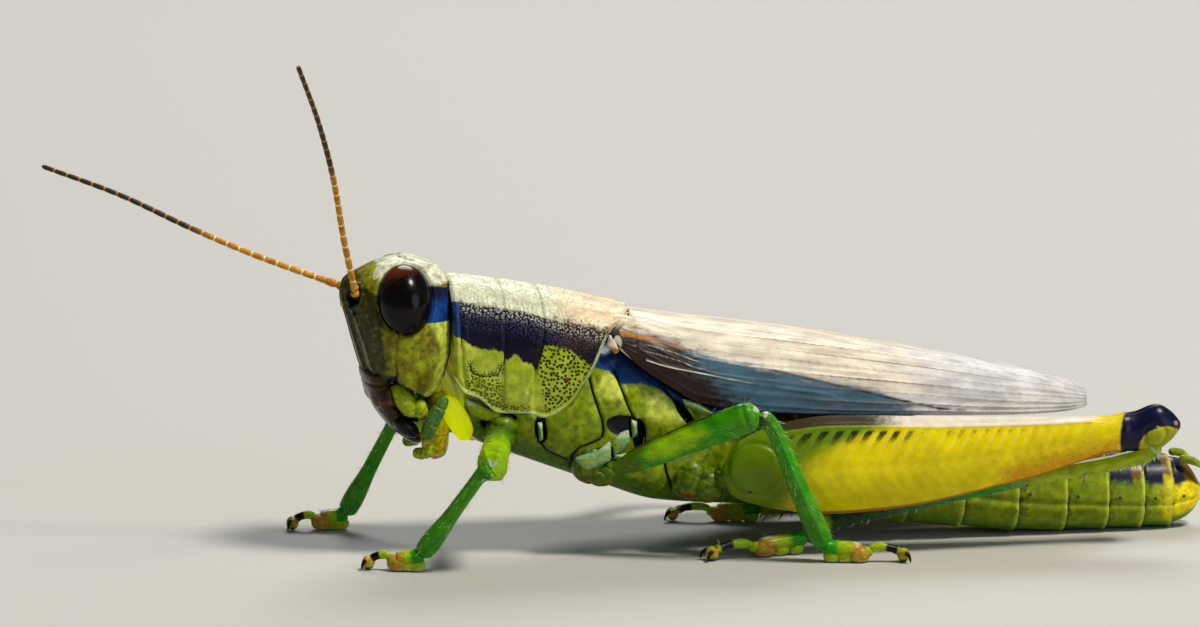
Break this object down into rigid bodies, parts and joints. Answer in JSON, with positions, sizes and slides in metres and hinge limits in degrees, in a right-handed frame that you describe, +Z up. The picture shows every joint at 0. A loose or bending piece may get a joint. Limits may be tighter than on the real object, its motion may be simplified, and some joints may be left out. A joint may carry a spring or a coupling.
{
  "type": "grasshopper",
  "caption": "Life-size still model of a slender spur-throated grasshopper at rest, with folded wings and a dark stripe behind the eye.",
  "frame": {"origin": "on the floor, under the middle of the whole model, feelers included", "axes": "+X from the face towards the tail, +Y from the animal's left side to its right, +Z up"},
  "size_m": [0.037, 0.012, 0.0164],
  "materials": {
    "face_cuticle": "glossy olive shell plate with brown mottling",
    "eye_glassy": "polished dark compound eye",
    "mouth_cuticle": "dark glossy shell plate",
    "palp_cuticle": "satin green shell",
    "antenna_cuticle": "satin straw and brown joints",
    "neck_membrane": "soft bright yellow skin",
    "pronotum_cuticle": "pitted and grained shell with a blue-black stripe",
    "thorax_cuticle": "satin yellow-green shell plates with black seams",
    "abdomen_cuticle": "satin banded rings",
    "tegmen_leathery": "leathery veined wing cover",
    "hindwing_membrane": "thin veined wing membrane",
    "green_leg_cuticle": "bright green shell, satin",
    "hind_femur_cuticle": "yellow shell with herringbone ridges, satin",
    "hind_tibia_cuticle": "blue-green shell with dark spines",
    "tarsus_cuticle": "yellow-green pads and dark claws"
  },
  "bodies": {
    "root": {"head": "face_cuticle", "mandible_left": "face_cuticle", "mandible_right": "face_cuticle", "eye_left": "eye_glassy", "eye_right": "eye_glassy", "antenna_left_base": "antenna_cuticle", "antenna_left_lower": "antenna_cuticle", "antenna_left_upper": "antenna_cuticle", "antenna_right_base": "antenna_cuticle", "antenna_right_lower": "antenna_cuticle", "antenna_right_upper": "antenna_cuticle", "labrum": "mouth_cuticle", "labium": "mouth_cuticle", "maxillary_palp_left": "palp_cuticle", "maxillary_palp_right": "palp_cuticle", "labial_palp_left": "palp_cuticle", "labial_palp_right": "palp_cuticle", "neck": "neck_membrane", "pronotum": "pronotum_cuticle", "prothorax": "thorax_cuticle", "mesothorax": "thorax_cuticle", "metathorax": "thorax_cuticle", "front_coxa_left": "thorax_cuticle", "front_coxa_right": "thorax_cuticle", "mid_coxa_left": "thorax_cuticle", "mid_coxa_right": "thorax_cuticle", "hind_coxa_left": "thorax_cuticle", "hind_coxa_right": "thorax_cuticle", "abdomen_front": "abdomen_cuticle", "abdomen_middle": "abdomen_cuticle", "abdomen_rear": "abdomen_cuticle", "abdomen_tip": "abdomen_cuticle", "cercus_left": "abdomen_cuticle", "cercus_right": "abdomen_cuticle", "tegmen_left": "tegmen_leathery", "tegmen_right": "tegmen_leathery", "hindwing_left": "hindwing_membrane", "hindwing_right": "hindwing_membrane", "front_femur_left": "green_leg_cuticle", "front_femur_right": "green_leg_cuticle", "front_tibia_left": "green_leg_cuticle", "front_tibia_right": "green_leg_cuticle", "mid_femur_left": "green_leg_cuticle", "mid_femur_right": "green_leg_cuticle", "mid_tibia_left": "green_leg_cuticle", "mid_tibia_right": "green_leg_cuticle", "hind_femur_left": "hind_femur_cuticle", "hind_femur_right": "hind_femur_cuticle", "hind_tibia_left": "hind_tibia_cuticle", "hind_tibia_right": "hind_tibia_cuticle", "front_tarsus_left": "tarsus_cuticle", "front_tarsus_right": "tarsus_cuticle", "mid_tarsus_left": "tarsus_cuticle", "mid_tarsus_right": "tarsus_cuticle", "hind_tarsus_left": "tarsus_cuticle", "hind_tarsus_right": "tarsus_cuticle"}
  },
  "joints": []
}
